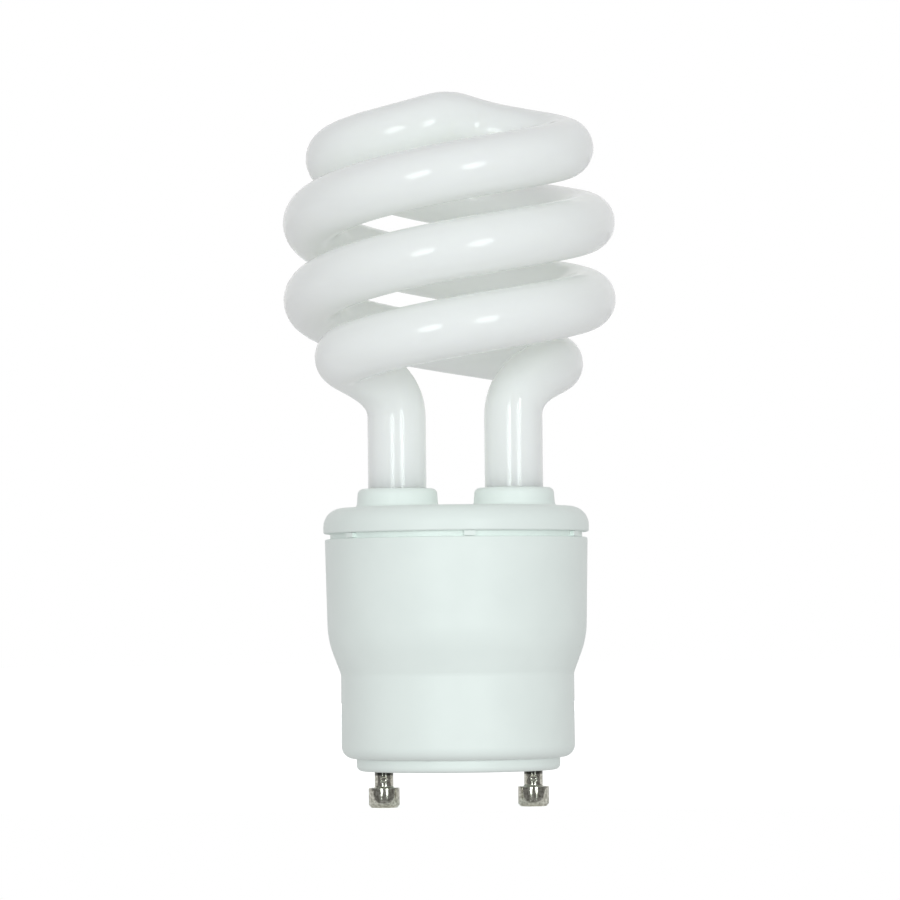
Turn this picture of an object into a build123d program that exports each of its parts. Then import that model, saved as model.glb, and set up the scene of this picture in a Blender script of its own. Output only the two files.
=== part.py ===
from build123d import *
import math
import os

# Spiral fluorescent lamp with a twist-lock two-pin base, and the ballast inside it.
# Sizes are in millimetres. Z = 0 is the face of the base that seats in a socket. The pins hang below it,
# one on each side along X, and +Z runs up the axis of the lamp to the top of the coil.

# Base pins
pin_spacing = 24.0
pin_head_diameter = 5.0
pin_head_length = 3.2
pin_head_chamfer = 0.45
pin_neck_diameter = 3.0
pin_neck_length = 2.7
pin_rivet_diameter = 4.6
pin_rivet_length = 1.0
crimp_diameter = 1.2
crimp_depth = 0.3
crimp_drop = 1.35
press_gap = 0.05

# Housing
lip_step = 2.4
lip_height = 2.0
lip_round = 0.9
base_diameter = 37.5
base_height = 13.5
base_round = 2.0
shoulder_diameter = 41.6
shoulder_height = 5.6
shoulder_round = 12.0
shoulder_fillet = 2.0
rim_diameter = 42.3
body_height = 16.1
housing_wall = 1.2
floor_thickness = 2.4
rim_round = 0.3

# Top cover
groove_height = 0.9
groove_depth = 1.1
cover_overhang = 0.225
cover_height = 4.1
cover_round = 3.0
cover_edge_round = 0.3
cover_wall = 1.5
skirt_wall = 1.2
skirt_depth = 5.0
skirt_clearance = 0.15
tab_count = 6
tab_turn = 6.0
tab_width = 1.7
tab_thickness = 0.7
collar_diameter = 13.2
collar_top_diameter = 12.7
collar_height = 3.1
collar_round = 0.9
collar_fillet = 0.8
tube_clearance = 0.15
cement_length = 3.5

# Glass tube: two straight legs, two strands of one coil, and a bridge over the top
tube_diameter = 9.4
leg_spacing = 18.8
leg_length = 14.6
leg_tail = 5.5
bend_rise = 10.0
bend_leg_pull = 8.5
bend_coil_pull = 9.5
coil_radius = 22.1
coil_shift = -0.65
coil_start_angle = 43.5
coil_end_angle = 500.8
coil_start_inset = 1.35
coil_end_inset = 1.46
coil_start_slope = 0.18
coil_end_slope = 0.198
coil_first_rise = 8.85
coil_half_pitch = 12.45
coil_last_rise = 9.73
coil_step_angle = 18.0
bend_steps = 7
bridge_steps = 8
run_share = 0.49
bridge_rise = 6.96
bridge_end_pull = 17.4
bridge_top_pull = 4.4
bridge_turn = 18.0
bridge_reach = 2.6
bridge_swing = 3.9
bridge_sag = 2.7

# Circuit board and its wiring
board_thickness = 1.6
board_clearance = 0.3
board_margin = 2.0
part_gap = 0.6
post_diameter = 0.9
post_height = 5.0
post_spacing = 4.4
wrap_length = 2.6
wrap_diameter = 1.8
filament_wire_diameter = 0.6
supply_wire_diameter = 1.4

# Parts that hang below the board
tank_width = 10.0
tank_depth = 4.2
tank_height = 8.5
tank_round = 1.2
capacitor_diameter = 8.0
capacitor_length = 14.0
capacitor_groove_drop = 2.0
capacitor_groove_depth = 0.35
capacitor_round = 0.5
bobbin_width = 8.6
bobbin_flange = 0.8
bobbin_wall = 0.7
bobbin_height = 7.6
winding_inset = 0.5
core_leg = 3.2
core_depth = 6.2
core_outer_leg = 1.8
core_plate = 2.2
core_window_gap = 0.3
core_split = 0.1
toroid_outer_diameter = 6.4
toroid_inner_diameter = 3.4
toroid_height = 3.0
toroid_wire_diameter = 0.5
toroid_turns = 9
choke_diameter = 6.0
choke_waist_diameter = 3.0
choke_height = 8.0
choke_flange = 1.2
choke_winding_inset = 0.4
transistor_width = 7.6
transistor_thickness = 2.7
transistor_height = 9.0
transistor_leg_length = 3.0
transistor_leg_width = 0.8
transistor_leg_thickness = 0.4
transistor_leg_spacing = 2.3
transistor_hole_diameter = 3.0
transistor_hole_drop = 2.9

# Parts that lie on top of the board
axial_wire_diameter = 0.7
axial_wire_reach = 1.8
axial_bend_radius = 0.8
diode_count = 4
diode_diameter = 2.7
diode_length = 5.2
diode_pitch = 4.0
fuse_diameter = 3.4
fuse_length = 9.0
resistor_count = 3
resistor_diameter = 2.2
resistor_length = 5.0
resistor_pitch = 4.0

# Heights of the main faces
lip_top = lip_height
base_top = lip_top + base_height
ledge = base_top + shoulder_height
rim_top = ledge + body_height
cover_bottom = rim_top + groove_height
deck = cover_bottom + cover_height
deck_underside = deck - cover_wall
board_top = ledge + board_thickness
leg_top = deck + leg_length
tube_end = deck_underside - leg_tail
coil_start_height = leg_top + bend_rise
bridge_height = coil_start_height + coil_first_rise + coil_half_pitch + coil_last_rise + bridge_rise

# Radii of the main walls
tube_radius = tube_diameter / 2
base_radius = base_diameter / 2
base_inside = base_radius - housing_wall
shoulder_radius = shoulder_diameter / 2
ledge_outside = shoulder_radius - housing_wall
rim_radius = rim_diameter / 2
rim_inside = rim_radius - housing_wall
board_radius = ledge_outside - board_clearance
cover_radius = rim_radius + cover_overhang
groove_radius = cover_radius - groove_depth

# The skirt slides down inside the leaning wall of the housing, and clears its narrower end
skirt_bottom = cover_bottom - skirt_depth
wall_lean = (rim_inside - ledge_outside) / body_height
wall_at_skirt_bottom = rim_inside - wall_lean * (rim_top - skirt_bottom)
skirt_outside = min(wall_at_skirt_bottom, rim_inside) - skirt_clearance


def turned(*points):
    return revolve(Plane.XZ * make_face(Polyline(*points, close=True)), Axis.Z)


def standing(radius, bottom, top, x=0.0, y=0.0):
    return Pos(x, y, bottom) * Cylinder(radius, top - bottom, align=(Align.CENTER, Align.CENTER, Align.MIN))


def block(width, depth, bottom, top, x=0.0, y=0.0):
    return Pos(x, y, bottom) * Box(width, depth, top - bottom, align=(Align.CENTER, Align.CENTER, Align.MIN))


def rings_at(shape, height, radius=None):
    rings = shape.edges().filter_by(GeomType.CIRCLE)
    rings = [ring for ring in rings if abs(ring.center().Z - height) < 1e-3]
    if radius is not None:
        rings = [ring for ring in rings if abs(ring.radius - radius) < 1e-3]
    return rings


# Centreline of the glass tube

def coil_place(side, angle, outset=1.0):
    start_radius = coil_radius - coil_start_inset
    end_radius = coil_radius - coil_end_inset
    stations = (coil_start_angle, 180.0, 360.0, coil_end_angle)
    heights = [coil_start_height]
    for rise in (coil_first_rise, coil_half_pitch, coil_last_rise):
        heights.append(heights[-1] + rise)
    middle_slope = coil_half_pitch / math.pi
    slopes = (coil_start_slope * start_radius, middle_slope, middle_slope, coil_end_slope * end_radius)
    radii = (start_radius, coil_radius, coil_radius, end_radius)
    span = 0 if angle < stations[1] else 1 if angle < stations[2] else 2
    width = math.radians(stations[span + 1] - stations[span])
    t = (angle - stations[span]) / (stations[span + 1] - stations[span])
    blend = t * t * (3 - 2 * t)
    radius = radii[span] + (radii[span + 1] - radii[span]) * blend
    height = heights[span] + (heights[span + 1] - heights[span]) * blend
    height += width * t * (1 - t) * ((1 - t) * slopes[span] - t * slopes[span + 1])
    turn = math.radians(angle)
    reach = side * radius * outset
    return Vector(reach * math.cos(turn) + coil_shift, reach * math.sin(turn), height)


def coil_direction(side, angle, slope):
    turn = math.radians(angle)
    return Vector(-side * math.sin(turn), side * math.cos(turn), slope).normalized()


def bezier_place(t, *controls):
    while len(controls) > 1:
        controls = [first + (last - first) * t for first, last in zip(controls, controls[1:])]
    return controls[0]


def strand_places(side):
    start = coil_place(side, coil_start_angle)
    end = coil_place(side, coil_end_angle)
    start_way = coil_direction(side, coil_start_angle, coil_start_slope)
    end_way = coil_direction(side, coil_end_angle, coil_end_slope)
    foot = Vector(side * leg_spacing / 2, 0, leg_top)
    bend = (foot, foot + Vector(0, 0, bend_leg_pull), start - start_way * bend_coil_pull, start)
    top = Vector(coil_shift, 0, bridge_height)
    turn = math.radians(bridge_turn)
    top_way = Vector(side * math.cos(turn), side * math.sin(turn), 0)
    sag = Vector(coil_shift - side * bridge_reach, -side * bridge_swing, bridge_height - bridge_sag)
    bridge = (end, end + end_way * bridge_end_pull, sag, top - top_way * bridge_top_pull, top)

    places = [Vector(side * leg_spacing / 2, 0, tube_end)]
    places += [bezier_place(k / bend_steps, *bend) for k in range(bend_steps)]
    # The corners of the coil's runs stand outside its curve, so that the arcs between them lie on it
    coil_span = coil_end_angle - coil_start_angle
    coil_steps = round(coil_span / coil_step_angle)
    coil_step = coil_span / coil_steps
    outset = 1 / math.cos(math.radians(coil_step / 2))
    places += [coil_place(side, coil_start_angle + coil_step * k, outset) for k in range(coil_steps + 1)]
    places += [bezier_place(k / bridge_steps, *bridge) for k in range(1, bridge_steps)]
    return places


def tube_path():
    top = Vector(coil_shift, 0, bridge_height)
    places = strand_places(1) + [top] + strand_places(-1)[::-1]
    radii = []
    for before, corner, after in zip(places, places[1:], places[2:]):
        run_in = corner - before
        run_out = after - corner
        half_turn = math.radians(run_in.get_angle(run_out) / 2)
        radii.append(run_share * min(run_in.length, run_out.length) / math.tan(half_turn))
    return FilletPolyline(*places, radius=radii)


# Glass tube

def discharge_tube():
    section = Pos(leg_spacing / 2, 0, tube_end) * Circle(tube_radius)
    return sweep(section, path=tube_path())


# Moulded shells

def housing():
    lip = base_radius - lip_step
    bottom = (base_radius, lip_top)
    top = (rim_radius, rim_top)
    outline = FilletPolyline(
        bottom,
        (base_radius, base_top),
        (shoulder_radius, ledge),
        top,
        radius=[shoulder_fillet, shoulder_round],
    )
    outline += Polyline(top, (0, rim_top), (0, 0), (lip, 0), (lip, lip_top), bottom)
    shell = revolve(Plane.XZ * make_face(outline), Axis.Z)
    shell = fillet(rings_at(shell, 0), lip_round)
    shell = fillet(rings_at(shell, lip_top, base_radius), base_round)
    shell = fillet(rings_at(shell, rim_top), rim_round)
    shell -= turned(
        (0, floor_thickness),
        (base_inside, floor_thickness),
        (base_inside, ledge),
        (ledge_outside, ledge),
        (rim_inside, rim_top + groove_height),
        (0, rim_top + groove_height),
    )
    for side in (1, -1):
        bore = pin_neck_diameter / 2 + press_gap
        shell -= standing(bore, -lip_height, floor_thickness + lip_height, side * pin_spacing / 2)
    return shell


def top_cover():
    plate = turned((0, cover_bottom), (cover_radius, cover_bottom), (cover_radius, deck), (0, deck))
    plate = fillet(rings_at(plate, deck), cover_round)
    plate = fillet(rings_at(plate, cover_bottom), cover_edge_round)
    plate += standing(groove_radius, rim_top, deck_underside)
    plate += standing(skirt_outside, skirt_bottom, deck_underside)
    for side in (1, -1):
        collar = turned(
            (0, deck_underside),
            (collar_diameter / 2, deck_underside),
            (collar_diameter / 2, deck),
            (collar_top_diameter / 2, deck + collar_height),
            (0, deck + collar_height),
        )
        collar = fillet(rings_at(collar, deck + collar_height), collar_round)
        plate += Pos(side * leg_spacing / 2, 0, 0) * collar
    plate = fillet(rings_at(plate, deck, collar_diameter / 2), collar_fillet)
    plate -= standing(skirt_outside - skirt_wall, skirt_bottom, deck_underside)
    for side in (1, -1):
        bore = tube_radius + tube_clearance
        plate -= standing(bore, tube_end, deck + 2 * collar_height, side * leg_spacing / 2)
    for k in range(tab_count):
        tab_length = skirt_wall / 2 + tab_thickness
        tab_middle = groove_radius + tab_thickness - tab_length / 2
        tab = block(tab_length, tab_width, rim_top, cover_bottom, tab_middle)
        plate += Rot(0, 0, 360 * (k + 0.5) / tab_count + tab_turn) * tab
    return plate


def tube_cement(side):
    ring = standing(collar_diameter / 2, deck_underside - cement_length, deck_underside)
    ring -= standing(tube_radius + press_gap, tube_end, deck)
    return Pos(side * leg_spacing / 2, 0, 0) * ring


# Base pins

def base_pin(side):
    neck = pin_neck_diameter / 2
    head = pin_head_diameter / 2
    head_top = -pin_neck_length
    tip = head_top - pin_head_length
    pin = standing(neck, head_top, floor_thickness)
    pin += chamfer(rings_at(standing(head, tip, head_top), tip), pin_head_chamfer)
    pin += standing(pin_rivet_diameter / 2, floor_thickness, floor_thickness + pin_rivet_length)
    mark = Pos(0, -neck, -crimp_drop) * Rot(90, 0, 0) * Cylinder(crimp_diameter / 2, 2 * crimp_depth)
    return Pos(side * pin_spacing / 2, 0, 0) * (pin - mark)


# Circuit board and wiring

def circuit_board():
    return standing(board_radius, ledge, board_top)


def post_places(side):
    return [side * leg_spacing / 2 + offset * post_spacing / 2 for offset in (-1, 1)]


def wire_posts():
    places = post_places(1) + post_places(-1)
    return [standing(post_diameter / 2, board_top, board_top + post_height, x) for x in places]


def filament_leads(side):
    post_end = board_top + post_height
    cap_top = post_end + filament_wire_diameter
    leads = []
    for x in post_places(side):
        lead = standing(wrap_diameter / 2, post_end - wrap_length, cap_top, x)
        lead -= standing(post_diameter / 2 + press_gap, board_top, post_end, x)
        leads.append(lead + standing(filament_wire_diameter / 2, cap_top, tube_end, x))
    return leads


def supply_lead(side):
    rivet_top = floor_thickness + pin_rivet_length
    return standing(supply_wire_diameter / 2, rivet_top, ledge, side * pin_spacing / 2)


# Rows below the board: the tank capacitor lies across the middle, the others stand on each side of it
row_edge = tank_depth / 2 + part_gap
core_width = bobbin_width + 2 * (core_window_gap + core_outer_leg)
core_row = -(row_edge + max(core_depth, bobbin_width) / 2)


def tank_capacitor():
    body = block(tank_width, tank_depth, ledge - tank_height, ledge)
    return fillet(body.edges().filter_by(Axis.Z) + body.faces().sort_by(Axis.Z)[0].edges(), tank_round)


def electrolytic_capacitor():
    radius = capacitor_diameter / 2
    can = standing(radius, ledge - capacitor_length, ledge)
    can = fillet(rings_at(can, ledge - capacitor_length), capacitor_round)
    groove = Pos(0, 0, ledge - capacitor_groove_drop) * Torus(radius, capacitor_groove_depth)
    return Pos(0, row_edge + radius, 0) * (can - groove)


def inductor():
    top = ledge
    bobbin_top = top - core_plate - core_window_gap
    bobbin_bottom = bobbin_top - bobbin_height
    bottom = bobbin_bottom - core_window_gap - core_plate
    hole_width = core_leg + 2 * core_window_gap
    hole_depth = core_depth + 2 * core_window_gap
    sleeve_width = hole_width + 2 * bobbin_wall
    sleeve_depth = hole_depth + 2 * bobbin_wall
    y = core_row

    sleeve = block(sleeve_width, sleeve_depth, bobbin_bottom, bobbin_top, 0, y)
    bobbin_depth = max(bobbin_width, sleeve_depth + 2 * bobbin_flange)
    lower_flange = block(bobbin_width, bobbin_depth, bobbin_bottom, bobbin_bottom + bobbin_flange, 0, y)
    upper_flange = block(bobbin_width, bobbin_depth, bobbin_top - bobbin_flange, bobbin_top, 0, y)
    leg_hole = block(hole_width, hole_depth, bobbin_bottom, bobbin_top, 0, y)
    bobbin = sleeve + lower_flange + upper_flange - leg_hole

    wire_bottom = bobbin_bottom + bobbin_flange
    wire_top = bobbin_top - bobbin_flange
    winding_width = bobbin_width - 2 * winding_inset
    winding_depth = bobbin_depth - 2 * winding_inset
    winding = block(winding_width, winding_depth, wire_bottom, wire_top, 0, y)
    winding = fillet(winding.edges().filter_by(Axis.Z), winding_inset)
    winding -= block(sleeve_width, sleeve_depth, wire_bottom, wire_top, 0, y)

    middle = (bottom + top) / 2
    outer_x = core_width / 2 - core_outer_leg / 2

    def core_half(plate_bottom, plate_top, leg_bottom, leg_top_face):
        half = block(core_width, core_depth, plate_bottom, plate_top, 0, y)
        half += block(core_leg, core_depth, leg_bottom, leg_top_face, 0, y)
        for x in (-outer_x, outer_x):
            half += block(core_outer_leg, core_depth, leg_bottom, leg_top_face, x, y)
        return half

    upper = core_half(top - core_plate, top, middle + core_split / 2, top)
    lower = core_half(bottom, bottom + core_plate, bottom, middle - core_split / 2)
    return {
        "inductor_bobbin": bobbin,
        "inductor_winding": winding,
        "inductor_core_upper": upper,
        "inductor_core_lower": lower,
    }


def drive_transformer():
    ring_outer = toroid_outer_diameter / 2
    ring_inner = toroid_inner_diameter / 2
    wire = toroid_wire_diameter
    reach = ring_outer + wire
    x = capacitor_diameter / 2 + part_gap + reach
    y = row_edge + reach
    ring_top = ledge - wire
    ring_bottom = ring_top - toroid_height
    ring = standing(ring_outer, ring_bottom, ring_top) - standing(ring_inner, ring_bottom, ring_top)
    middle = (ring_outer + ring_inner) / 2
    turns = []
    for k in range(toroid_turns):
        loop = block(ring_outer - ring_inner + 2 * wire, wire, ring_bottom - wire, ring_top + wire, middle)
        loop -= ring
        turns.append(Pos(x, y, 0) * Rot(0, 0, 360 * k / toroid_turns) * loop)
    return Pos(x, y, 0) * ring, turns


def input_choke():
    radius = choke_diameter / 2
    waist = choke_waist_diameter / 2
    bottom = ledge - choke_height
    lower = bottom + choke_flange
    upper = ledge - choke_flange
    core = standing(radius, bottom, lower) + standing(waist, lower, upper) + standing(radius, upper, ledge)
    winding = standing(radius - choke_winding_inset, lower, upper) - standing(waist, lower, upper)
    place = Pos(-(capacitor_diameter / 2 + part_gap + radius), row_edge + radius, 0)
    return place * core, place * winding


def transistor(side):
    body_top = ledge - transistor_leg_length
    body = block(transistor_thickness, transistor_width, body_top - transistor_height, body_top)
    hole_height = body_top - transistor_height + transistor_hole_drop
    hole = Rot(0, 90, 0) * Cylinder(transistor_hole_diameter / 2, 2 * transistor_thickness)
    body -= Pos(0, 0, hole_height) * hole
    for k in (-1, 0, 1):
        y = k * transistor_leg_spacing
        body += block(transistor_leg_thickness, transistor_leg_width, body_top, ledge, 0, y)
    x = core_width / 2 + part_gap + transistor_thickness / 2
    return Pos(side * x, -(row_edge + transistor_width / 2), 0) * body


# Small parts that lie on top of the board on their bent wires

def axial_part(diameter, length):
    axis_height = board_top + diameter / 2
    end = length / 2 + axial_wire_reach
    path = FilletPolyline(
        (-end, 0, board_top),
        (-end, 0, axis_height),
        (end, 0, axis_height),
        (end, 0, board_top),
        radius=axial_bend_radius,
    )
    wire = sweep(Pos(-end, 0, board_top) * Circle(axial_wire_diameter / 2), path=path)
    body = Pos(0, 0, axis_height) * Rot(0, 90, 0) * Cylinder(diameter / 2, length)
    return body + wire


def axial_row(count, diameter, length, pitch, row):
    across = Rot(0, 0, 90) * axial_part(diameter, length)
    return [Pos((k - (count - 1) / 2) * pitch, row, 0) * across for k in range(count)]


def axial_half_length(length):
    return length / 2 + axial_wire_reach + axial_wire_diameter / 2


# Rows on top of the board: the fuse lies beside the posts, the diodes and resistors near the board's edge
fuse_row = -(wrap_diameter / 2 + part_gap + fuse_diameter / 2)
diode_row = board_radius - board_margin - axial_half_length(diode_length)
resistor_row = -(board_radius - board_margin - axial_half_length(resistor_length))


def lamp_nodes():
    ring, turns = drive_transformer()
    choke_core, choke_winding = input_choke()
    nodes = {
        "discharge_tube": discharge_tube(),
        "top_cover": top_cover(),
        "housing": housing(),
        "circuit_board": circuit_board(),
        "wire_posts": wire_posts(),
        "tank_capacitor": tank_capacitor(),
        "electrolytic_capacitor": electrolytic_capacitor(),
        "drive_toroid": ring,
        "toroid_winding": turns,
        "input_choke_core": choke_core,
        "input_choke_winding": choke_winding,
        "rectifier_diodes": axial_row(diode_count, diode_diameter, diode_length, diode_pitch, diode_row),
        "fuse_resistor": Pos(0, fuse_row, 0) * axial_part(fuse_diameter, fuse_length),
        "resistors": axial_row(
            resistor_count, resistor_diameter, resistor_length, resistor_pitch, resistor_row
        ),
    }
    nodes.update(inductor())
    for name, side in (("left", -1), ("right", 1)):
        nodes["base_pin_" + name] = base_pin(side)
        nodes["tube_cement_" + name] = tube_cement(side)
        nodes["filament_leads_" + name] = filament_leads(side)
        nodes["supply_lead_" + name] = supply_lead(side)
        nodes["transistor_" + name] = transistor(side)
    return nodes


os.makedirs("parts", exist_ok=True)
for node, shape in lamp_nodes().items():
    solids = shape if isinstance(shape, list) else [shape]
    export_step(Compound(children=[Part(solid.wrapped) for solid in solids]), f"parts/{node}.step")
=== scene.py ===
import bpy
import math
from collections import Counter
from mathutils import Matrix, Vector


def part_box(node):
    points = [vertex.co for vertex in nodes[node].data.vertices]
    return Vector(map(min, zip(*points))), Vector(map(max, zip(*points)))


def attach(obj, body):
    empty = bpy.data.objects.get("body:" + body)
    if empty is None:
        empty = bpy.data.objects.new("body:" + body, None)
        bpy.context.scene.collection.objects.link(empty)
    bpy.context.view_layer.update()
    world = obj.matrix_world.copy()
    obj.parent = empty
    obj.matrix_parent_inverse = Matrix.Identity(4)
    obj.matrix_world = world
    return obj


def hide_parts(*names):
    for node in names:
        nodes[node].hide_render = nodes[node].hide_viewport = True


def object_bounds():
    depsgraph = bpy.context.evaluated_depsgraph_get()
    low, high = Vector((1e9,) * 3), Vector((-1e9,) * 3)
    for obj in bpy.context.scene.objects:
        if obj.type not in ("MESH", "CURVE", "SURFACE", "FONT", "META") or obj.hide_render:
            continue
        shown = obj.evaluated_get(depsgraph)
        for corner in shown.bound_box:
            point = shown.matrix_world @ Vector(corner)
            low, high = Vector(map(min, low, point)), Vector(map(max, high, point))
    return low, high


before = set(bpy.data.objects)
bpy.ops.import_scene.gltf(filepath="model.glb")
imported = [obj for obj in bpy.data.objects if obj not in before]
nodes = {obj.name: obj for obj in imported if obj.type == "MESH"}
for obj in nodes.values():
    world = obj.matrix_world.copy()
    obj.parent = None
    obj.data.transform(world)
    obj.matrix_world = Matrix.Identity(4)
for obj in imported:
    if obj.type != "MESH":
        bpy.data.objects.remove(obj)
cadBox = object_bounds()
mm = 0.001               # sizes below are in millimetres
weldGap = 1e-7           # metres, points closer than this are merged
samePlace = 1e-6         # metres, a point this close is the one looked for
nearBy = 0.05            # millimetres, a face this close is the one looked for
roundStep = 9            # degrees that each facet of a rounded corner turns
roundFacets = 4          # the fewest facets in a rounded corner
sharpAngle = 40          # degrees, edges that turn more than this stay sharp
print("frame loaded:", len(nodes), "nodes")


def middleX(nodeName):        # the middle of a node's box, in mm
    return sum(corner.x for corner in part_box(nodeName)) / 2 / mm


# Modelling by hand: small helpers round the edit mode operators

def clearSelection():
    if bpy.context.object and bpy.context.object.mode != "OBJECT":
        bpy.ops.object.mode_set(mode="OBJECT")
    bpy.ops.object.select_all(action="DESELECT")


def startPiece(name):
    clearSelection()
    bpy.ops.mesh.primitive_plane_add(size=mm)
    piece = bpy.context.object
    piece.name = name
    piece.data.name = name
    bpy.ops.object.mode_set(mode="EDIT")
    bpy.ops.mesh.delete(type="VERT")        # the plane only opened the mesh
    return piece


def pick(piece, kind, test):        # kind is vertices, edges or polygons
    bpy.ops.mesh.select_mode(type={"vertices": "VERT", "edges": "EDGE", "polygons": "FACE"}[kind])
    bpy.ops.mesh.select_all(action="DESELECT")
    bpy.ops.object.mode_set(mode="OBJECT")
    for item in getattr(piece.data, kind):
        item.select = test(item)
    bpy.ops.object.mode_set(mode="EDIT")


def drawOutline(piece, corners, axisX=0.0):        # corners are (radius, height, round)
    bpy.ops.mesh.select_mode(type="VERT")
    bpy.ops.mesh.select_all(action="DESELECT")
    places = [Vector((axisX + radius, 0, height)) * mm for radius, height, _ in corners]
    bpy.ops.mesh.primitive_plane_add(size=mm, location=places[0])
    bpy.ops.mesh.merge(type="CENTER")
    for before, after in zip(places, places[1:]):
        bpy.ops.mesh.extrude_region_move(TRANSFORM_OT_translate={"value": after - before})
    for k in range(1, len(corners) - 1):
        if corners[k][2] == 0:
            continue
        turn = (places[k] - places[k - 1]).angle(places[k + 1] - places[k])
        pick(piece, "vertices", lambda vertex: (vertex.co - places[k]).length < samePlace)
        bpy.ops.mesh.bevel(
            offset=corners[k][2] * mm * math.tan(turn / 2),
            segments=max(roundFacets, round(math.degrees(turn) / roundStep)),
            affect="VERTICES",
        )


def spinOutline(piece, corners, segments, axisX=0.0):
    drawOutline(piece, corners, axisX)
    bpy.ops.object.mode_set(mode="OBJECT")
    faceVertices = {index for face in piece.data.polygons for index in face.vertices}
    bpy.ops.object.mode_set(mode="EDIT")
    pick(piece, "vertices", lambda vertex: vertex.index not in faceVertices)
    bpy.ops.mesh.spin(steps=segments, angle=2 * math.pi, center=(axisX * mm, 0, 0), axis=(0, 0, 1))
    bpy.ops.mesh.select_all(action="SELECT")
    bpy.ops.mesh.remove_doubles(threshold=weldGap)


def fillRound(piece, height):        # closes a flat face that has round holes in it
    bpy.ops.object.mode_set(mode="OBJECT")
    uses = Counter(key for face in piece.data.polygons for key in face.edge_keys)
    points = piece.data.vertices
    level = height * mm
    openEdges = [key for key, count in uses.items() if count == 1]
    flat = {key for key in openEdges if abs(points[key[0]].co.z - level) < samePlace}
    bpy.ops.object.mode_set(mode="EDIT")
    pick(piece, "edges", lambda edge: edge.key in flat)
    bpy.ops.mesh.fill(use_beauty=True)


def finishPiece(piece):
    bpy.ops.mesh.select_all(action="SELECT")
    bpy.ops.mesh.remove_doubles(threshold=weldGap)
    bpy.ops.mesh.normals_make_consistent(inside=False)
    bpy.ops.object.mode_set(mode="OBJECT")
    bpy.ops.object.shade_smooth_by_angle(angle=math.radians(sharpAngle))
    bpy.ops.object.modifier_add(type="WEIGHTED_NORMAL")
    piece.modifiers[-1].keep_sharp = True
    bpy.ops.object.modifier_apply(modifier=piece.modifiers[-1].name)
    print(piece.name, "made:", len(piece.data.polygons), "faces")


# Housing: one moulded shell, with two bores for the pins in its floor

housingSize = {
    "lip": 16.35, "lipTop": 2.0, "lipRound": 0.9,
    "base": 18.75, "baseTop": 15.5, "baseRound": 2.0,
    "shoulder": 20.8, "ledge": 21.1, "shoulderRound": 12.0, "shoulderFillet": 2.0,
    "rim": 21.15, "rimRound": 0.3, "wall": 1.2, "floor": 2.4, "underRing": 0.3, "floorRing": 0.5,
    "bore": 1.55, "boreRound": 0.15, "boreRing": 0.4, "edgeRound": 0.12, "segments": 192, "boreSegments": 48,
}
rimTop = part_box("housing")[1].z / mm
pinPlaces = [middleX("base_pin_" + name) for name in ("left", "right")]


def makeHousing():
    s = housingSize
    piece = startPiece("housingShell")
    spinOutline(piece, [
        (s["lip"] - s["lipRound"] - s["underRing"], 0, 0),
        (s["lip"], 0, s["lipRound"]),
        (s["lip"], s["lipTop"], s["edgeRound"]),
        (s["base"], s["lipTop"], s["baseRound"]),
        (s["base"], s["baseTop"], s["shoulderFillet"]),
        (s["shoulder"], s["ledge"], s["shoulderRound"]),
        (s["rim"], rimTop, s["rimRound"]),
        (s["rim"] - s["wall"], rimTop, s["edgeRound"]),
        (s["shoulder"] - s["wall"], s["ledge"], 0),
        (s["base"] - s["wall"], s["ledge"], s["edgeRound"]),
        (s["base"] - s["wall"], s["floor"], s["edgeRound"]),
        (s["base"] - s["wall"] - s["floorRing"], s["floor"], 0),
    ], s["segments"])
    for x in pinPlaces:
        spinOutline(piece, [
            (s["bore"] + s["boreRing"], 0, 0),
            (s["bore"], 0, s["boreRound"]),
            (s["bore"], s["floor"], 0),
        ], s["boreSegments"], x)
    fillRound(piece, 0)
    fillRound(piece, s["floor"])
    finishPiece(piece)
    return piece


# Cover: a cap with a skirt, six small tabs in the groove and a collar round each leg

coverSize = {
    "edge": 21.375, "height": 4.1, "round": 3.0, "edgeRound": 0.3, "flatRing": 0.3,
    "groove": 20.275, "grooveHeight": 0.9, "skirt": 19.71, "skirtWall": 1.2, "skirtDepth": 5.0, "wall": 1.5,
    "collar": 6.6, "collarTop": 6.35, "collarHeight": 3.1, "collarRound": 0.9, "collarFillet": 0.8,
    "collarRing": 0.2, "bore": 4.85, "boreRound": 0.25, "segments": 216, "collarSegments": 96,
    "tabs": 6, "tabTurn": 36.0, "tabFaces": 3, "tabOut": 0.7, "tabGap": 0.06,
}
legPlaces = [middleX("tube_cement_" + name) for name in ("left", "right")]
coverBottom = rimTop + coverSize["grooveHeight"]
deck = coverBottom + coverSize["height"]


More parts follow.
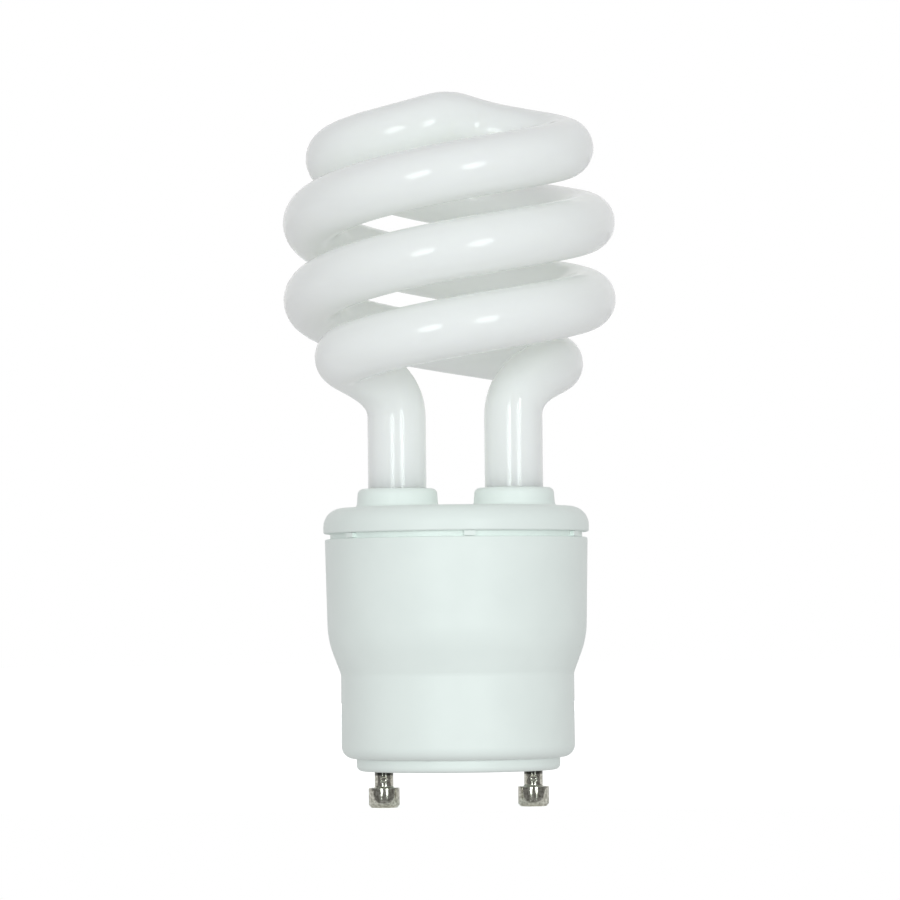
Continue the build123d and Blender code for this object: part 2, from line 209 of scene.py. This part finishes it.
def makeCover():
    s = coverSize
    piece = startPiece("coverCap")
    under = deck - s["wall"]
    inside = s["skirt"] - s["skirtWall"]
    spinOutline(piece, [
        (s["edge"] - s["round"] - s["flatRing"], deck, 0),
        (s["edge"], deck, s["round"]),
        (s["edge"], coverBottom, s["edgeRound"]),
        (s["groove"], coverBottom, 0),
        (s["groove"], coverBottom - s["tabGap"], 0),
        (s["groove"], rimTop + s["tabGap"], 0),
        (s["groove"], rimTop, 0),
        (s["skirt"], rimTop, 0),
        (s["skirt"], coverBottom - s["skirtDepth"], s["edgeRound"]),
        (inside, coverBottom - s["skirtDepth"], s["edgeRound"]),
        (inside, under, 0),
        (inside - s["flatRing"], under, 0),
    ], s["segments"])
    for x in legPlaces:
        spinOutline(piece, [
            (s["collar"] + s["collarFillet"] + s["collarRing"], deck, 0),
            (s["collar"], deck, s["collarFillet"]),
            (s["collarTop"], deck + s["collarHeight"], s["collarRound"]),
            (s["bore"], deck + s["collarHeight"], s["boreRound"]),
            (s["bore"], under, 0),
        ], s["collarSegments"], x)
    fillRound(piece, deck)
    fillRound(piece, under)

    # the tabs are pulled out of the groove's own wall
    step = 360 / s["segments"]
    turns = [k * 360 / s["tabs"] + s["tabTurn"] for k in range(s["tabs"])]
    starts = [round(turn / step - s["tabFaces"] / 2) for turn in turns]
    tabSteps = {(start + k) % s["segments"] for start in starts for k in range(s["tabFaces"])}

    def onTab(face):
        x, y, z = face.center / mm
        turn = math.degrees(math.atan2(y, x)) % 360
        inBand = abs(z - (rimTop + coverBottom) / 2) < nearBy
        return inBand and abs(math.hypot(x, y) - s["groove"]) < nearBy and int(turn / step) in tabSteps

    bpy.ops.mesh.select_all(action="SELECT")
    bpy.ops.mesh.normals_make_consistent(inside=False)
    pick(piece, "polygons", onTab)
    bpy.ops.mesh.extrude_region_shrink_fatten(TRANSFORM_OT_shrink_fatten={"value": s["tabOut"] * mm})
    finishPiece(piece)
    return piece


# Pins: turned studs with a chamfered head, a punch mark in the neck and a rivet inside

pinSize = {
    "neck": 1.5, "neckLength": 2.7, "head": 2.5, "headLength": 3.2, "chamfer": 0.45, "edgeRound": 0.12,
    "footRound": 0.3, "rivet": 2.3, "rivetLength": 1.0, "rivetRound": 0.4,
    "markDrop": 1.4, "markDepth": 0.26, "markReach": 0.56,
    "firstRing": 1.5, "rings": 40, "segments": 128,        # firstRing is in foot rounds up the neck
}


def makePin(name, x):
    s = pinSize
    piece = startPiece(name)
    tip = -s["neckLength"] - s["headLength"]
    floor = housingSize["floor"]
    neckFoot = -s["neckLength"] + s["firstRing"] * s["footRound"]
    neckRings = [(s["neck"], neckFoot * (1 - k / s["rings"]), 0) for k in range(s["rings"] + 1)]
    spinOutline(piece, [
        (0, tip, 0),
        (s["head"] - s["chamfer"], tip, s["edgeRound"]),
        (s["head"], tip + s["chamfer"], s["edgeRound"]),
        (s["head"], -s["neckLength"], s["edgeRound"]),
        (s["neck"], -s["neckLength"], s["footRound"]),
        *neckRings,
        (s["neck"], floor, 0),
        (s["rivet"], floor, s["edgeRound"]),
        (s["rivet"], floor + s["rivetLength"], s["rivetRound"]),
        (0, floor + s["rivetLength"], 0),
    ], s["segments"])
    bpy.ops.mesh.select_all(action="SELECT")
    bpy.ops.mesh.normals_make_consistent(inside=False)
    bpy.ops.object.mode_set(mode="OBJECT")
    mark = Vector((0, -s["neck"], -s["markDrop"])) * mm
    nearest = min(piece.data.vertices, key=lambda vertex: (vertex.co - mark).length).index
    bpy.ops.object.mode_set(mode="EDIT")
    pick(piece, "vertices", lambda vertex: vertex.index == nearest)
    bpy.ops.transform.translate(
        value=(0, s["markDepth"] * mm, 0), use_proportional_edit=True,
        proportional_edit_falloff="SPHERE", proportional_size=s["markReach"] * mm,
    )
    bpy.ops.mesh.select_all(action="SELECT")
    bpy.ops.transform.translate(value=(x * mm, 0, 0))
    finishPiece(piece)
    return piece


# Glass tube: legs, outward bends, the double coil and the bridge over its top, on one centreline

tubeSize = {
    "radius": 4.7, "legTop": 56.8, "tailEnd": 35.2,
    "bendRise": 10.0, "bendLegPull": 8.5, "bendCoilPull": 9.5,
    "startAngle": 43.5, "endAngle": 500.8, "startInset": 1.35, "endInset": 1.46,
    "startSlope": 0.18, "endSlope": 0.198, "rises": (8.85, 12.45, 9.73),
    "bridgeEndPull": 17.4, "bridgeTopPull": 4.4, "bridgeTurn": 18.0,
    "bridgeReach": 2.6, "bridgeSwing": 3.9, "bridgeSag": 2.7,
    "bendPoints": 36, "coilStep": 3.0, "bridgePoints": 40, "ringDetail": 30,
}
tubeLow, tubeHigh = [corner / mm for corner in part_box("discharge_tube")]
coilRadius = (tubeHigh.y - tubeLow.y) / 2 - tubeSize["radius"]
coilShift = (tubeHigh.x + tubeLow.x) / 2
bridgeHeight = tubeHigh.z - tubeSize["radius"]
bridgeTop = Vector((coilShift, 0, bridgeHeight))        # where both strands meet


def coilPoint(side, angle):
    s = tubeSize
    stations = (s["startAngle"], 180.0, 360.0, s["endAngle"])
    radii = (coilRadius - s["startInset"], coilRadius, coilRadius, coilRadius - s["endInset"])
    heights = [s["legTop"] + s["bendRise"]]
    for rise in s["rises"]:
        heights.append(heights[-1] + rise)
    middleSlope = s["rises"][1] / math.pi
    slopes = (s["startSlope"] * radii[0], middleSlope, middleSlope, s["endSlope"] * radii[3])
    span = 0 if angle < stations[1] else 1 if angle < stations[2] else 2
    width = stations[span + 1] - stations[span]
    t = (angle - stations[span]) / width
    ease = t * t * (3 - 2 * t)
    radius = radii[span] + (radii[span + 1] - radii[span]) * ease
    height = heights[span] + (heights[span + 1] - heights[span]) * ease
    height += math.radians(width) * t * (1 - t) * ((1 - t) * slopes[span] - t * slopes[span + 1])
    turn = math.radians(angle)
    return Vector((side * radius * math.cos(turn) + coilShift, side * radius * math.sin(turn), height))


def coilWay(side, angle, slope):
    turn = math.radians(angle)
    return Vector((-side * math.sin(turn), side * math.cos(turn), slope)).normalized()


def curvePoint(t, controls):
    while len(controls) > 1:
        controls = [first.lerp(last, t) for first, last in zip(controls, controls[1:])]
    return controls[0]


def strandPoints(side, legX):
    s = tubeSize
    start = coilPoint(side, s["startAngle"])
    end = coilPoint(side, s["endAngle"])
    startWay = coilWay(side, s["startAngle"], s["startSlope"])
    endWay = coilWay(side, s["endAngle"], s["endSlope"])
    foot = Vector((legX, 0, s["legTop"]))
    bend = [foot, foot + Vector((0, 0, s["bendLegPull"])), start - startWay * s["bendCoilPull"], start]
    turn = math.radians(s["bridgeTurn"])
    topWay = Vector((side * math.cos(turn), side * math.sin(turn), 0))
    sag = Vector((
        coilShift - side * s["bridgeReach"],
        -side * s["bridgeSwing"],
        bridgeHeight - s["bridgeSag"],
    ))
    bridge = [
        end,
        end + endWay * s["bridgeEndPull"],
        sag,
        bridgeTop - topWay * s["bridgeTopPull"],
        bridgeTop,
    ]
    points = [Vector((legX, 0, s["tailEnd"])), Vector((legX, 0, (s["tailEnd"] + s["legTop"]) / 2))]
    points += [curvePoint(k / s["bendPoints"], bend) for k in range(s["bendPoints"])]
    steps = round((s["endAngle"] - s["startAngle"]) / s["coilStep"])
    points += [coilPoint(side, s["startAngle"] + s["coilStep"] * k) for k in range(steps)]
    points += [curvePoint(k / s["bridgePoints"], bridge) for k in range(s["bridgePoints"])]
    return points


def makeTube():
    clearSelection()
    bpy.ops.curve.primitive_bezier_curve_add()
    piece = bpy.context.object
    piece.name = "glassTube"
    line = piece.data
    points = strandPoints(1, legPlaces[1]) + [bridgeTop] + strandPoints(-1, legPlaces[0])[::-1]
    line.splines.clear()
    strand = line.splines.new("POLY")
    strand.points.add(len(points) - 1)
    for spot, place in zip(strand.points, points):
        spot.co = (*(place * mm), 1)
    line.dimensions = "3D"
    line.bevel_depth = tubeSize["radius"] * mm
    line.bevel_resolution = tubeSize["ringDetail"]
    line.use_fill_caps = True
    bpy.ops.object.convert(target="MESH")
    piece = bpy.context.object
    piece.data.name = "glassTube"
    bpy.ops.object.mode_set(mode="EDIT")
    bpy.ops.mesh.select_all(action="SELECT")
    bpy.ops.mesh.remove_doubles(threshold=weldGap)
    bpy.ops.mesh.normals_make_consistent(inside=False)
    bpy.ops.object.mode_set(mode="OBJECT")
    bpy.ops.object.shade_smooth_by_angle(angle=math.radians(sharpAngle))
    print(piece.name, "made:", len(piece.data.polygons), "faces")
    return piece


# Finishes: grain is (scale per metre, detail), tones are linear colours

noiseLow, noiseHigh = 0.3, 0.7        # most of a noise lies between these


def newFinish(name):
    finish = bpy.data.materials.new(name)
    finish.use_nodes = True
    shader = finish.node_tree.nodes["Principled BSDF"]
    return finish, finish.node_tree, shader


def addNode(tree, kind, **inputs):
    node = tree.nodes.new(kind)
    for socket, value in inputs.items():
        node.inputs[socket].default_value = value
    return node


def mathNode(tree, operation, first, second):        # each value is a number or another node's output
    node = tree.nodes.new("ShaderNodeMath")
    node.operation = operation
    for socket, value in zip(node.inputs, (first, second)):
        if isinstance(value, (int, float)):
            socket.default_value = value
        else:
            tree.links.new(value, socket)
    return node.outputs["Value"]


def mapRange(tree, source, spanFrom, spanTo):        # carries a value over from one span to another
    node = tree.nodes.new("ShaderNodeMapRange")
    for socket, value in zip(("From Min", "From Max", "To Min", "To Max"), (*spanFrom, *spanTo)):
        node.inputs[socket].default_value = value
    tree.links.new(source, node.inputs["Value"])
    return node


def placeAlong(tree, space, axis):        # one coordinate of the place that is shaded
    coords = tree.nodes.new("ShaderNodeTexCoord")
    split = tree.nodes.new("ShaderNodeSeparateXYZ")
    tree.links.new(coords.outputs[space], split.inputs["Vector"])
    return split.outputs[axis]


def addGrain(tree, scale, detail, stretch=(1, 1, 1)):        # noise on object coordinates
    coords = tree.nodes.new("ShaderNodeTexCoord")
    mapping = tree.nodes.new("ShaderNodeMapping")
    mapping.inputs["Scale"].default_value = stretch
    noise = addNode(tree, "ShaderNodeTexNoise", Scale=scale, Detail=detail)
    tree.links.new(coords.outputs["Object"], mapping.inputs["Vector"])
    tree.links.new(mapping.outputs["Vector"], noise.inputs["Vector"])
    return noise.outputs["Fac"]


def tint(tree, shader, source, dark, light, low=noiseLow, high=noiseHigh):
    ramp = tree.nodes.new("ShaderNodeValToRGB")
    ramp.color_ramp.elements[0].position = low
    ramp.color_ramp.elements[0].color = (*dark, 1)
    ramp.color_ramp.elements[1].position = high
    ramp.color_ramp.elements[1].color = (*light, 1)
    tree.links.new(source, ramp.inputs["Fac"])
    tree.links.new(ramp.outputs["Color"], shader.inputs["Base Color"])


def roughen(tree, shader, source, low, high):
    spread = mapRange(tree, source, (noiseLow, noiseHigh), (low, high))
    tree.links.new(spread.outputs["Result"], shader.inputs["Roughness"])


def emboss(tree, shader, source, strength, depth):        # depth in mm
    bump = addNode(tree, "ShaderNodeBump", Strength=strength, Distance=depth * mm)
    tree.links.new(source, bump.inputs["Height"])
    tree.links.new(bump.outputs["Normal"], shader.inputs["Normal"])


glassLook = {
    "dark": (0.945, 0.965, 0.938), "light": (0.962, 0.982, 0.955), "cloud": (90, 4),
    "rough": (0.36, 0.46), "roughGrain": (260, 3),
    "scatter": (1.0, 1.0, 0.95), "scatterDepth": 12.0, "coat": 0.62, "coatRough": 0.012, "coatIor": 1.5,
}


def phosphorGlass():        # white powder that light soaks into, under a clear glossy wall
    look = glassLook
    finish, tree, shader = newFinish("phosphorGlass")
    tint(tree, shader, addGrain(tree, *look["cloud"]), look["dark"], look["light"])
    roughen(tree, shader, addGrain(tree, *look["roughGrain"]), *look["rough"])
    shader.inputs["Specular IOR Level"].default_value = 0.0        # the clear wall has all the gloss
    shader.inputs["Subsurface Weight"].default_value = 1.0
    shader.inputs["Subsurface Radius"].default_value = look["scatter"]
    shader.inputs["Subsurface Scale"].default_value = look["scatterDepth"] * mm
    shader.inputs["Coat Weight"].default_value = look["coat"]
    shader.inputs["Coat Roughness"].default_value = look["coatRough"]
    shader.inputs["Coat IOR"].default_value = look["coatIor"]
    return finish


plasticLook = {
    "dark": (0.853, 0.903, 0.88), "light": (0.882, 0.932, 0.908), "cloud": (120, 4),
    "rough": (0.38, 0.48), "roughGrain": (400, 4), "gloss": 0.35,
    "peelGrain": (4200, 3), "peelStrength": 0.12, "peelDepth": 0.02,
}


def mouldedPlastic():
    look = plasticLook
    finish, tree, shader = newFinish("mouldedPlastic")
    tint(tree, shader, addGrain(tree, *look["cloud"]), look["dark"], look["light"])
    roughen(tree, shader, addGrain(tree, *look["roughGrain"]), *look["rough"])
    shader.inputs["Specular IOR Level"].default_value = look["gloss"]
    emboss(tree, shader, addGrain(tree, *look["peelGrain"]), look["peelStrength"], look["peelDepth"])
    return finish


platingLook = {
    "dark": (0.42, 0.405, 0.345), "light": (0.77, 0.75, 0.67), "spots": (2400, 4), "spotEdge": (0.38, 0.62),
    "rough": (0.08, 0.16), "roughGrain": (1500, 4, (1, 1, 8)),
    "dentGrain": (1700, 2), "dentStrength": 0.16, "dentDepth": 0.05,
    # heights in mm and darkness of the painted shade ring just below the lip
    "shadowRingFoot": -0.85, "shadowRingTop": -0.65, "shadowRingTone": 0.2,
}


def platedPin():        # spotted nickel, with a ring of painted shade where the pin enters the plastic
    look = platingLook
    finish, tree, shader = newFinish("platedPin")
    tint(tree, shader, addGrain(tree, *look["spots"]), look["dark"], look["light"], *look["spotEdge"])
    height = placeAlong(tree, "Object", "Z")
    # painted shade: the plating is darkened in a band just below the lip, in place of the shadow in the gap
    # where the pin enters the plastic
    shadowRing = mapRange(tree, height, (look["shadowRingFoot"] * mm, look["shadowRingTop"] * mm), (1.0, look["shadowRingTone"]))
    shade = tree.nodes.new("ShaderNodeVectorMath")
    shade.operation = "SCALE"
    tone = shader.inputs["Base Color"].links[0].from_socket
    tree.links.new(tone, shade.inputs[0])
    tree.links.new(shadowRing.outputs["Result"], shade.inputs["Scale"])
    tree.links.new(shade.outputs["Vector"], shader.inputs["Base Color"])
    roughen(tree, shader, addGrain(tree, *look["roughGrain"]), *look["rough"])
    emboss(tree, shader, addGrain(tree, *look["dentGrain"]), look["dentStrength"], look["dentDepth"])
    shader.inputs["Metallic"].default_value = 1.0
    return finish


innerFinishes = {        # dark tone, light tone, rough low and high, metallic, grain per metre
    "cement": ((0.52, 0.49, 0.43), (0.66, 0.63, 0.56), 0.75, 0.92, 0.0, 700),
    "boardLaminate": ((0.36, 0.25, 0.10), (0.46, 0.34, 0.15), 0.45, 0.6, 0.0, 500),
    "copperWire": ((0.45, 0.17, 0.07), (0.62, 0.27, 0.12), 0.25, 0.4, 1.0, 1200),
    "tinnedWire": ((0.52, 0.53, 0.54), (0.68, 0.69, 0.70), 0.25, 0.42, 1.0, 1200),
    "wireSleeve": ((0.55, 0.03, 0.02), (0.66, 0.05, 0.04), 0.4, 0.52, 0.0, 800),
    "ferriteCore": ((0.030, 0.030, 0.033), (0.065, 0.065, 0.07), 0.55, 0.75, 0.0, 900),
    "bobbinPlastic": ((0.55, 0.50, 0.38), (0.64, 0.59, 0.46), 0.42, 0.55, 0.0, 500),
    "capacitorSleeve": ((0.015, 0.018, 0.035), (0.03, 0.035, 0.06), 0.25, 0.4, 0.0, 400),
    "filmCase": ((0.36, 0.07, 0.03), (0.46, 0.10, 0.045), 0.3, 0.45, 0.0, 500),
    "transistorCase": ((0.02, 0.02, 0.021), (0.045, 0.045, 0.047), 0.5, 0.68, 0.0, 1100),
    "diodeCase": ((0.018, 0.018, 0.02), (0.04, 0.04, 0.042), 0.38, 0.55, 0.0, 900),
    "resistorBody": ((0.50, 0.36, 0.20), (0.60, 0.45, 0.27), 0.4, 0.55, 0.0, 700),
}
innerGrain = {"tint": (1, 5), "rough": (2, 3), "bump": (4, 3)}        # times the grain above, and detail
innerBump = (0.2, 0.03)        # strength, and depth in mm


def innerFinish(name):
    dark, light, roughLow, roughHigh, metallic, grain = innerFinishes[name]
    finish, tree, shader = newFinish(name)
    layers = {use: addGrain(tree, grain * times, detail) for use, (times, detail) in innerGrain.items()}
    tint(tree, shader, layers["tint"], dark, light)
    roughen(tree, shader, layers["rough"], roughLow, roughHigh)
    emboss(tree, shader, layers["bump"], *innerBump)
    shader.inputs["Metallic"].default_value = metallic
    return finish


innerNodes = {
    "cement": ("tube_cement_left", "tube_cement_right"),
    "boardLaminate": ("circuit_board",),
    "copperWire": ("inductor_winding", "toroid_winding", "input_choke_winding"),
    "tinnedWire": ("wire_posts", "filament_leads_left", "filament_leads_right"),
    "wireSleeve": ("supply_lead_left", "supply_lead_right"),
    "ferriteCore": ("inductor_core_upper", "inductor_core_lower", "drive_toroid", "input_choke_core"),
    "bobbinPlastic": ("inductor_bobbin",),
    "capacitorSleeve": ("electrolytic_capacitor",),
    "filmCase": ("tank_capacitor",),
    "transistorCase": ("transistor_left", "transistor_right"),
    "diodeCase": ("rectifier_diodes",),
    "resistorBody": ("fuse_resistor", "resistors"),
}


def dress(piece, finish):
    piece.data.materials.clear()
    piece.data.materials.append(finish)


# Stage: white floor and surroundings, two soft lights in front and a weaker one behind, and the camera

stageLook = {
    "floorSize": 3.0, "floorFront": 0.008, "floorWhite": 0.9, "floorGlow": 0.62, "floorMirrored": 0.2,
    "worldStrength": 0.53, "roomStrength": 0.2, "roomEdge": (0.15, 0.9),
    "lightNames": ("softLeft", "softRight", "softBack"), "lightAngles": (-17.5, 21.5, 180.0),
    "lightWatts": (2.24, 2.24, 1.4), "lightColour": (0.9, 1.0, 0.985), "lightDistance": 1.0,
    "lightHeight": 0.17, "lightWidth": 0.31, "lightTall": 0.42, "bounces": 16, "diffuseBounces": 12,
}
cameraLook = {
    "distance": 715.0, "eye": 22.5, "aside": -0.85, "pitch": 2.32, "roll": -0.6,
    "pixelsPerMm": 6.21, "imageSize": 900, "sensor": 36.0, "nearest": 0.01, "farthest": 100.0,
}


def makeFloor():        # a white sheet, short in front, that glows for the camera and in reflections
    look = stageLook
    size = look["floorSize"]
    clearSelection()
    bpy.ops.mesh.primitive_plane_add(size=size, location=(0, size / 2 - look["floorFront"], cadBox[0].z))
    floor = bpy.context.object
    floor.name = "floor"
    bpy.ops.object.transform_apply(location=True)
    finish, tree, shader = newFinish("floorWhite")
    tree.nodes.remove(shader)
    white = look["floorWhite"]
    matt = addNode(tree, "ShaderNodeBsdfDiffuse", Color=(white, white, white, 1))
    glow = tree.nodes.new("ShaderNodeEmission")
    path = tree.nodes.new("ShaderNodeLightPath")
    seen = mathNode(tree, "MULTIPLY", path.outputs["Is Camera Ray"], look["floorGlow"])
    mirrored = mathNode(tree, "MULTIPLY", path.outputs["Is Glossy Ray"], look["floorMirrored"])
    either = mathNode(tree, "MAXIMUM", seen, mirrored)
    both = tree.nodes.new("ShaderNodeAddShader")
    sides = tree.nodes.new("ShaderNodeNewGeometry")
    clear = tree.nodes.new("ShaderNodeBsdfTransparent")
    oneSided = tree.nodes.new("ShaderNodeMixShader")        # seen through from below
    tree.links.new(either, glow.inputs["Strength"])
    tree.links.new(matt.outputs["BSDF"], both.inputs[0])
    tree.links.new(glow.outputs["Emission"], both.inputs[1])
    tree.links.new(sides.outputs["Backfacing"], oneSided.inputs["Fac"])
    tree.links.new(both.outputs["Shader"], oneSided.inputs[1])
    tree.links.new(clear.outputs["BSDF"], oneSided.inputs[2])
    tree.links.new(oneSided.outputs["Shader"], tree.nodes["Material Output"].inputs["Surface"])
    floor.data.materials.append(finish)


def makeWorld():        # white to the camera and behind, with a dim room in front for reflections
    look = stageLook
    world = bpy.data.worlds.new("studio")
    bpy.context.scene.world = world
    world.use_nodes = True
    tree = world.node_tree
    light = tree.nodes["Background"]
    light.inputs["Color"].default_value = (1, 1, 1, 1)
    path = tree.nodes.new("ShaderNodeLightPath")
    depth = placeAlong(tree, "Generated", "Y")
    room = mapRange(tree, depth, look["roomEdge"], (look["roomStrength"], 1.0))
    room.interpolation_type = "SMOOTHSTEP"
    seen = mathNode(tree, "MAXIMUM", path.outputs["Is Camera Ray"], path.outputs["Is Transmission Ray"])
    fill = mathNode(tree, "MAXIMUM", seen, look["worldStrength"])
    mirrored = mathNode(tree, "MULTIPLY", path.outputs["Is Glossy Ray"], room.outputs["Result"])
    rest = mathNode(tree, "SUBTRACT", 1.0, path.outputs["Is Glossy Ray"])
    others = mathNode(tree, "MULTIPLY", rest, fill)
    tree.links.new(mathNode(tree, "ADD", mirrored, others), light.inputs["Strength"])


def makeLights():        # the weak one behind shows in no reflection
    look = stageLook
    away = look["lightDistance"]
    aim = Vector((0, 0, (cadBox[0].z + cadBox[1].z) / 2))
    for name, angle, watts in zip(look["lightNames"], look["lightAngles"], look["lightWatts"]):
        turn = math.radians(angle)
        place = Vector((math.sin(turn) * away, -math.cos(turn) * away, look["lightHeight"]))
        bpy.ops.object.light_add(type="AREA", location=place)
        light = bpy.context.object
        light.name = name
        light.rotation_euler = (aim - place).to_track_quat("-Z", "Y").to_euler()
        light.data.shape = "ELLIPSE"
        light.data.size = look["lightWidth"]
        light.data.size_y = look["lightTall"]
        light.data.energy = watts
        light.visible_glossy = name != "softBack"
        light.data.color = look["lightColour"]


def makeCamera():
    look = cameraLook
    bpy.ops.object.camera_add(location=Vector((look["aside"], -look["distance"], look["eye"])) * mm)
    camera = bpy.context.object
    camera.name = "photoCamera"
    upright = Matrix.Rotation(math.radians(90 + look["pitch"]), 3, "X")
    camera.rotation_euler = (upright @ Matrix.Rotation(math.radians(look["roll"]), 3, "Z")).to_euler()
    camera.data.sensor_width = look["sensor"]
    camera.data.lens = look["sensor"] * look["pixelsPerMm"] * look["distance"] / look["imageSize"]
    camera.data.clip_start = look["nearest"]
    camera.data.clip_end = look["farthest"]
    bpy.context.scene.camera = camera


plastic = mouldedPlastic()
plating = platedPin()
pieces = [
    (makeTube(), "discharge_tube", "tube_glass", phosphorGlass()),
    (makeCover(), "top_cover", "white_plastic", plastic),
    (makeHousing(), "housing", "white_plastic", plastic),
    (makePin("pinLeft", pinPlaces[0]), "base_pin_left", "pin_plating", plating),
    (makePin("pinRight", pinPlaces[1]), "base_pin_right", "pin_plating", plating),
]
for piece, node, slot, finish in pieces:
    dress(piece, finish)
    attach(piece, "root")
    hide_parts(node)
for finishName, names in innerNodes.items():
    finish = innerFinish(finishName)
    for name in names:
        dress(nodes[name], finish)
print("finishes set")

makeFloor()
makeWorld()
makeLights()
makeCamera()
scene = bpy.context.scene
scene.view_settings.view_transform = "Standard"
scene.cycles.max_bounces = stageLook["bounces"]
scene.cycles.diffuse_bounces = stageLook["diffuseBounces"]        # light goes to and fro between the strands
print("stage set")
